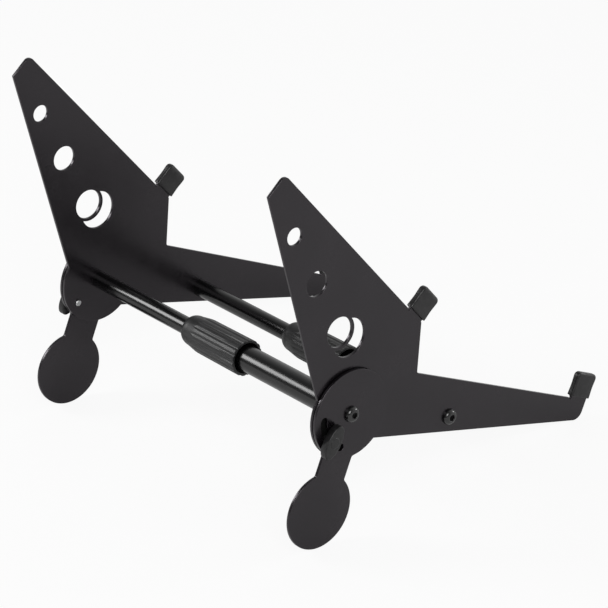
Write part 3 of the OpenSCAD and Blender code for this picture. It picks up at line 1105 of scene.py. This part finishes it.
@dataclass
class ButtonScrews:
    """Button-head screws with hex sockets, grown by Geometry Nodes where they stand."""

    shop: Paintshop
    plane: WingPlane
    screw_r: float = 4.0
    head_r: float = 7.5
    head_h: float = 4.4
    socket_w: float = 5.0
    socket_depth: float = 2.6
    drill_tip: float = 0.6
    flat_share: float = 0.7
    bite: float = 17.0
    edge_h: float = 0.8
    ease: float = 0.15
    dome_steps: int = 12
    columns: int = 60
    tree: PartTree = field(init=False)

    def __post_init__(self) -> None:
        """Builds the tree that all screws share."""
        self.tree = self._grow_tree()

    def _grow_tree(self) -> PartTree:
        """A spun head whose marked rows are six-sided, and a shank, on each marked point.

        Returns:
            The tree.
        """
        t = PartTree("button_screws", {
            "Columns": self.columns, "Socket width": self.socket_w * MM,
            "Shank radius": self.screw_r * MM,
        })

        def rule(angle: Wire, radius: Wire, mark: Wire, height: Wire) -> Wire:
            """Position on the head: round, or six-sided where the mark is 1.

            Args:
                angle: Angle in radians.
                radius: Radius of the profile.
                mark: Mark of the profile's point.
                height: Height of the profile's point.

            Returns:
                The position.
            """
            sixth = math.tau / 6
            fold = t.math("FLOORED_MODULO", angle, sixth) - sixth / 2
            six = t.size("Socket width") / 2.0 / t.math("COSINE", fold)
            wide = mark.above(0.5)
            r = radius * (1.0 - wide) + six * wide
            return t.combine(r * t.math("COSINE", angle), r * t.math("SINE", angle), height)

        def named(name: str) -> Wire:
            """A named value of the points."""
            return t.wire("GeometryNodeInputNamedAttribute", {"Name": name})

        def chosen(share: Wire) -> Wire:
            """The points where the share is 1."""
            picked = {"Geometry": t.size("Geometry"), "Selection": share}
            return t.wire("GeometryNodeSeparateGeometry", picked, domain="POINT")

        spots = chosen(named("place"))
        head = t.spin(chosen(1.0 - named("place")), rule)
        shank = t.wire("GeometryNodeMeshCylinder", {
            "Vertices": t.size("Columns"), "Radius": t.size("Shank radius"), "Depth": 1.0,
        })
        down = {"Geometry": shank, "Translation": (0.0, 0.0, -0.5)}
        lowered = t.wire("GeometryNodeTransform", down)
        reach = t.combine(1.0, 1.0, named("shank"))
        parts = t.node("GeometryNodeJoinGeometry")
        for inputs in ({"Instance": head}, {"Instance": lowered, "Scale": reach}):
            placed = t.wire("GeometryNodeInstanceOnPoints", {"Points": spots, **inputs})
            t.tree.links.new(placed.socket, parts.inputs[0])
        t.close(Wire(t, parts.outputs[0]))
        return t

    def profile(self) -> list[Triple]:
        """The head's profile, from the underside to the socket's floor.

        Returns:
            Its points as radius, mark of the six-sided rows and height.
        """
        flat_r = self.socket_w * self.flat_share
        across = self.socket_w / 2 / math.cos(math.radians(30))
        rows: list[Triple] = [
            (0.0, 0.0, 0.0), (self.head_r - self.ease, 0.0, 0.0), (self.head_r, 0.0, self.ease),
            (self.head_r, 0.0, self.edge_h - 0.1),
        ]
        dome_r, dome_h = self.head_r - flat_r, self.head_h - self.edge_h
        for arm in quarter(0, self.dome_steps):
            rows.append((flat_r + dome_r * arm.x, 0.0, self.edge_h + dome_h * arm.y))
        floor = self.head_h - self.socket_depth
        return rows + [
            (across + 0.32, 0.0, self.head_h), (across + 0.1, 0.0, self.head_h - 0.12),
            (across, 1.0, self.head_h - 0.3), (across, 1.0, floor),
            (0.0, 0.0, floor - self.drill_tip),
        ]

    def build(self, side: Side) -> None:
        """Grows the pivot screw and the arm screw of one side.

        Args:
            side: The side.
        """
        plane, profile, name = self.plane, self.profile(), side.value
        seats = [(0.0, 0.0, plane.leg_face), (*plane.front_tube, plane.sheet_t)]
        blank = [0.0] * len(profile)
        shanks = [(seat[2] + self.bite) * MM for seat in seats]
        piece = self.tree.grow(
            f"button_screws_{name}",
            [*profile, *seats],
            {"place": blank + [1.0] * len(seats), "shank": blank + shanks},
            self.shop.materials["screw_black"],
            plane.matrix(side),
            sharp_angle=38.0,
        )
        screws = (f"pivot_screw_{name}", f"arm_screw_{name}")
        self.shop.hand_over(piece, "screw_black", side.body, *screws)


@dataclass
class TwistSleeve:
    """Fluted sleeve of a twist clamp: its profile is spun and cut by a ring of flutes."""

    shop: Paintshop
    plane: WingPlane
    outer_r: float = 17.1
    wall: float = 2.6
    length: float = 81.0
    tip: float = 215.5
    taper: float = 0.3
    nose_len: float = 22.5
    nose_round: float = 9.0
    nose_r: float = 14.6
    bend: float = 3.0
    inner_tube_r: float = 8.25
    tube_len: float = 192.0
    shoulder: float = 3.0
    finger_end: float = 17.0
    finger_root_r: float = 11.8
    finger_tip_r: float = 10.1
    clearance: float = 0.3
    rim_r: float = 0.5
    rim_len: float = 1.8
    flutes: int = 16
    flute_depth: float = 0.9
    flute_r: float = 2.4
    blend: float = 0.5
    notch: float = 1.6
    lead: float = 0.2
    hole_ease: float = 0.15
    hole_lip: float = 1.0
    seam: float = 6.0
    columns: int = 224
    rim_steps: int = 5
    grip_steps: int = 14
    bend_steps: int = 8
    cone_steps: int = 10
    nose_steps: int = 14
    tree: PartTree = field(init=False)

    def __post_init__(self) -> None:
        """Builds the tree that both sleeves share."""
        self.tree = self._grow_tree()

    def _grow_tree(self) -> PartTree:
        """A spun profile whose radius is held under that of the flute cutters.

        Returns:
            The tree.
        """
        cutter = self.outer_r - self.flute_depth + self.flute_r
        t = PartTree("fluted_sleeve", {
            "Columns": self.columns, "Flutes": self.flutes, "Blend": self.blend * MM,
            "Cutter radius": self.flute_r * MM, "Cutter distance": cutter * MM,
            "Notch half width": self.notch / 2 * MM, "Notch depth": self.notch * MM,
            "Notch radius": self.outer_r * MM, "Notch angle": 1.5 * math.tau / self.flutes,
        })
        cutter_r, cutter_d = t.size("Cutter radius"), t.size("Cutter distance")

        def rule(angle: Wire, radius: Wire, mark: Wire, height: Wire) -> Wire:
            """Position on the sleeve, with flutes, and with the rim's notch where marked.

            Args:
                angle: Angle in radians.
                radius: Radius of the profile.
                mark: Mark of the profile's point.
                height: Height of the profile's point.

            Returns:
                The position.
            """
            pitch = math.tau / t.size("Flutes")
            fold = t.math("FLOORED_MODULO", angle, pitch) - pitch / 2.0
            side = cutter_d * t.math("SINE", fold)
            reach = (cutter_r * cutter_r - side * side).highest(0.0)
            cut = cutter_d * t.math("COSINE", fold) - t.math("SQRT", reach)
            # Past the cutter's flank there is no cut, so the limit is moved far out
            beyond = (side * side).above(cutter_r * cutter_r) * 0.05
            r = t.math("SMOOTH_MIN", radius, cut + beyond, t.size("Blend"))
            away = abs(angle - t.size("Notch angle")) * t.size("Notch radius")
            notch = (1.0 - away.above(t.size("Notch half width"))) * mark * t.size("Notch depth")
            x, y = r * t.math("COSINE", angle), r * t.math("SINE", angle)
            return t.combine(x, y, height + notch)

        t.close(t.spin(t.size("Geometry"), rule))
        return t

    def profile(self) -> list[Triple]:
        """The closed profile, round from a seam inside the bore.

        Returns:
            Its points as radius, mark of the notch and distance from the left wing.
        """
        start = self.tip - self.length
        bore, seam = self.outer_r - self.wall, start + self.seam
        rim = start + self.rim_len
        shoulder_z, nose_z = self.tip - self.nose_len, self.tip - self.nose_round
        shoulder_r = self.outer_r - self.taper
        slope = (shoulder_r - self.nose_r) / (nose_z - shoulder_z)
        rows: list[Triple] = [
            (bore, 0.0, seam), (bore, 0.0, rim), (bore, 1.0, start + self.lead),
            (bore + self.lead, 1.0, start),
        ]
        for arm in quarter(-90, self.rim_steps):
            more, less = self.rim_r * (1 + arm.y), self.rim_r * (1 - arm.x)
            rows.append((self.outer_r - less, 1.0, start + more))
        for step in range(self.grip_steps):
            share = step / self.grip_steps
            z = rim + (shoulder_z - self.bend - rim) * share
            rows.append((self.outer_r - self.taper * share, 0.0, z))
        # The shoulder is a soft bend from the grip into the cone of the nose
        for step in range(self.bend_steps + 1):
            share = step / self.bend_steps
            z = shoulder_z + self.bend * (2 * share - 1)
            rows.append((shoulder_r - slope * self.bend * share * share, 0.0, z))
        for step in range(1, self.cone_steps):
            past = self.bend + (nose_z - shoulder_z - self.bend) * step / self.cone_steps
            rows.append((shoulder_r - slope * past, 0.0, shoulder_z + past))
        hole_r = self.inner_tube_r + self.clearance
        tip_r = hole_r + self.hole_lip
        for arm in quarter(0, self.nose_steps):
            z = nose_z + self.nose_round * arm.y
            rows.append((tip_r + (self.nose_r - tip_r) * arm.x, 0.0, z))
        cone_z = self.tube_len + self.finger_end + self.clearance
        step_z = self.tube_len + self.shoulder + self.clearance
        return rows + [
            (hole_r + self.hole_ease, 0.0, self.tip), (hole_r, 0.0, self.tip - self.hole_ease),
            (hole_r, 0.0, cone_z),
            (self.finger_tip_r + self.clearance, 0.0, cone_z),
            (self.finger_root_r + self.clearance, 0.0, step_z), (bore, 0.0, step_z),
            (bore, 0.0, seam),
        ]

    def build(self, tube: Tube) -> None:
        """Grows the sleeve of one tube.

        Args:
            tube: The tube.
        """
        x, y = (0.0, 0.0) if tube is Tube.REAR else self.plane.front_tube
        inward = Matrix.Diagonal((1.0, 1.0, -1.0, 1.0))
        piece = self.tree.grow(
            f"grip_sleeve_{tube.value}",
            self.profile(),
            {},
            self.shop.materials["sleeve_grip"],
            self.plane.matrix(Side.LEFT) @ Matrix.Translation((x * MM, y * MM, 0.0)) @ inward,
            sharp_angle=32.0,
        )
        name = tube.value
        self.shop.hand_over(piece, "sleeve_grip", f"clamp_{name}", f"clamp_sleeve_{name}")


@dataclass
class Wing:
    """One wing with its two boots and screws, and the leg and knob on its outer face."""

    shop: Paintshop
    plane: WingPlane
    side: Side
    lip: Triple = (-13.9, 21.7, 23.6)
    hook: Triple = (282.8, 22.6, 24.0)

    def build(self, screws: ButtonScrews, knob: WingKnob) -> None:
        """Makes and dresses all of the wing's pieces.

        Args:
            screws: Grows the screws.
            knob: Makes the knob.
        """
        name, side, plane = self.side.value, self.side, self.plane
        sheet = SheetSkin(self.shop)
        sheet.build(f"wing_skin_{name}", f"wing_plate_{name}", side.body)
        sheet.build(f"leg_skin_{name}", f"leg_plate_{name}", f"leg_{name}")
        boot = TabCap(self.shop, plane)
        boot.build(side, "lip", plane.rest_angle, plane.rest_offset, self.lip)
        boot.build(side, "hook", plane.arm_angle, plane.arm_offset, self.hook)
        screws.build(side)
        knob.build(side)
        # The friction disc's fibre finish is darkened as painted shade where it shows through the
        # leg's slot
        self.shop.dress_nodes("fibre_disc", f"friction_disc_{name}")
        self.shop.dress_nodes("zinc_steel", f"knob_stud_{name}")


@dataclass
class TubePair:
    """One telescopic tube: outer and inner pipe, their plugs and guide, and the clamp."""

    shop: Paintshop
    tube: Tube

    def build(self, sleeve: TwistSleeve) -> None:
        """Dresses the tube's CAD nodes and grows its sleeve.

        Args:
            sleeve: Grows the fluted sleeve.
        """
        name, dress = self.tube.value, self.shop.dress_nodes
        dress("tube_gloss", f"outer_tube_{name}", f"inner_tube_{name}")
        dress("zinc_steel", f"tube_plug_{name}_left", f"tube_plug_{name}_right")
        dress("nylon_black", f"guide_bush_{name}", f"clamp_collet_{name}")
        sleeve.build(self.tube)


# The studio; sizes in metres


@dataclass(frozen=True)
class SoftBox:
    """A square soft lamp; its power in watts."""

    name: str
    place: Triple
    size: float
    power: float

    def hang(self, target: Triple) -> None:
        """Hangs the lamp and turns it.

        Args:
            target: The point that it faces.
        """
        data = bpy.data.lights.new(self.name, "AREA")
        data.shape = "SQUARE"
        data.size = self.size
        data.energy = self.power
        lamp = bpy.data.objects.new(self.name, data)
        lamp.location = self.place
        aim = Vector(target) - Vector(self.place)
        lamp.rotation_euler = aim.to_track_quat("-Z", "Y").to_euler()
        bpy.context.scene.collection.objects.link(lamp)


@dataclass
class Studio:
    """White floor, grey room with a lighter backdrop, soft lamps and the camera."""

    floor_size: float = 12.0
    floor_paint: float = 0.85
    camera_glow: float = 0.9
    mirror_glow: float = 0.1
    room: float = 0.27
    backdrop: float = 0.72
    middle: Triple = (0.0, 0.05, 0.12)
    lamps: tuple[SoftBox, ...] = (
        SoftBox("left_box", (1.40, 1.13, 1.06), 0.7, 15.0),
        SoftBox("right_box", (-1.0, -1.5, 0.48), 0.36, 4.2),
        SoftBox("top_box", (-2.5, 1.55, 2.1), 1.8, 52.0),
    )
    eye: Triple = (-1.97407, 1.63891, 1.44914)
    target: Triple = (0.00046, 0.00955, 0.11881)
    roll: float = -2.352
    lens: float = 185.033
    sensor: float = 36.0
    near: float = 0.05
    far: float = 40.0

    def build_floor(self) -> None:
        """Lays a floor that is white to the camera and keeps a faint shadow of the stand."""
        mesh = bpy.data.meshes.new("floor")
        half = self.floor_size / 2
        corners = [(-half, -half, 0), (half, -half, 0), (half, half, 0), (-half, half, 0)]
        mesh.from_pydata(corners, [], [(0, 1, 2, 3)])
        material = bpy.data.materials.new("studio_floor")
        n = NodeBuilder(fresh_nodes(material))
        to_camera = n.wire("ShaderNodeLightPath", output="Is Camera Ray")
        to_mirror = n.wire("ShaderNodeLightPath", output="Is Glossy Ray")
        share = to_camera * self.camera_glow + to_mirror * self.mirror_glow
        paint = n.wire("ShaderNodeBsdfDiffuse", {"Color": (self.floor_paint,) * 3})
        glow = n.wire("ShaderNodeEmission", {"Color": WHITE, "Strength": 1.0})
        surface = n.wire("ShaderNodeMixShader", {0: share, 1: paint, 2: glow})
        n.node("ShaderNodeOutputMaterial", {"Surface": surface})
        mesh.materials.append(material)
        add_object("floor", mesh)

    def build_world(self) -> None:
        """A grey room that grows lighter towards the backdrop behind the stand."""
        world = bpy.data.worlds.new("studio")
        bpy.context.scene.world = world
        n = NodeBuilder(fresh_nodes(world))
        _, y, _ = n.split(n.wire("ShaderNodeTexCoord", output="Generated"))
        level = (y * -1.0).highest(0.0) * self.backdrop + self.room
        room = n.wire("ShaderNodeBackground", {"Color": WHITE, "Strength": level})
        n.node("ShaderNodeOutputWorld", {"Surface": room})

    def build_camera(self) -> None:
        """Sets the camera at the photograph's viewing angle."""
        data = bpy.data.cameras.new("camera")
        data.sensor_width, data.lens = self.sensor, self.lens
        data.clip_start, data.clip_end = self.near, self.far
        camera = bpy.data.objects.new("camera", data)
        look = (Vector(self.target) - Vector(self.eye)).to_track_quat("-Z", "Y")
        camera.matrix_world = (
            Matrix.Translation(self.eye) @ look.to_matrix().to_4x4() @ turn(self.roll)
        )
        bpy.context.scene.collection.objects.link(camera)
        bpy.context.scene.camera = camera

    def build(self) -> None:
        """Sets up the whole studio."""
        self.build_floor()
        self.build_world()
        for lamp in self.lamps:
            lamp.hang(self.middle)
        self.build_camera()
        bpy.context.scene.view_settings.view_transform = "Standard"


def main() -> None:
    """Builds the stand, piece by piece, and its studio."""
    logging.basicConfig(level=logging.INFO, format="%(name)s: %(message)s")
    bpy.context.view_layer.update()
    shop = Paintshop()
    plane = WingPlane()
    screws = ButtonScrews(shop, plane)
    knob = WingKnob(shop, plane)
    sleeve = TwistSleeve(shop, plane)
    for side in Side:
        Wing(shop, plane, side).build(screws, knob)
    for tube in Tube:
        TubePair(shop, tube).build(sleeve)
    Studio().build()


if __name__ == "__main__":
    main()
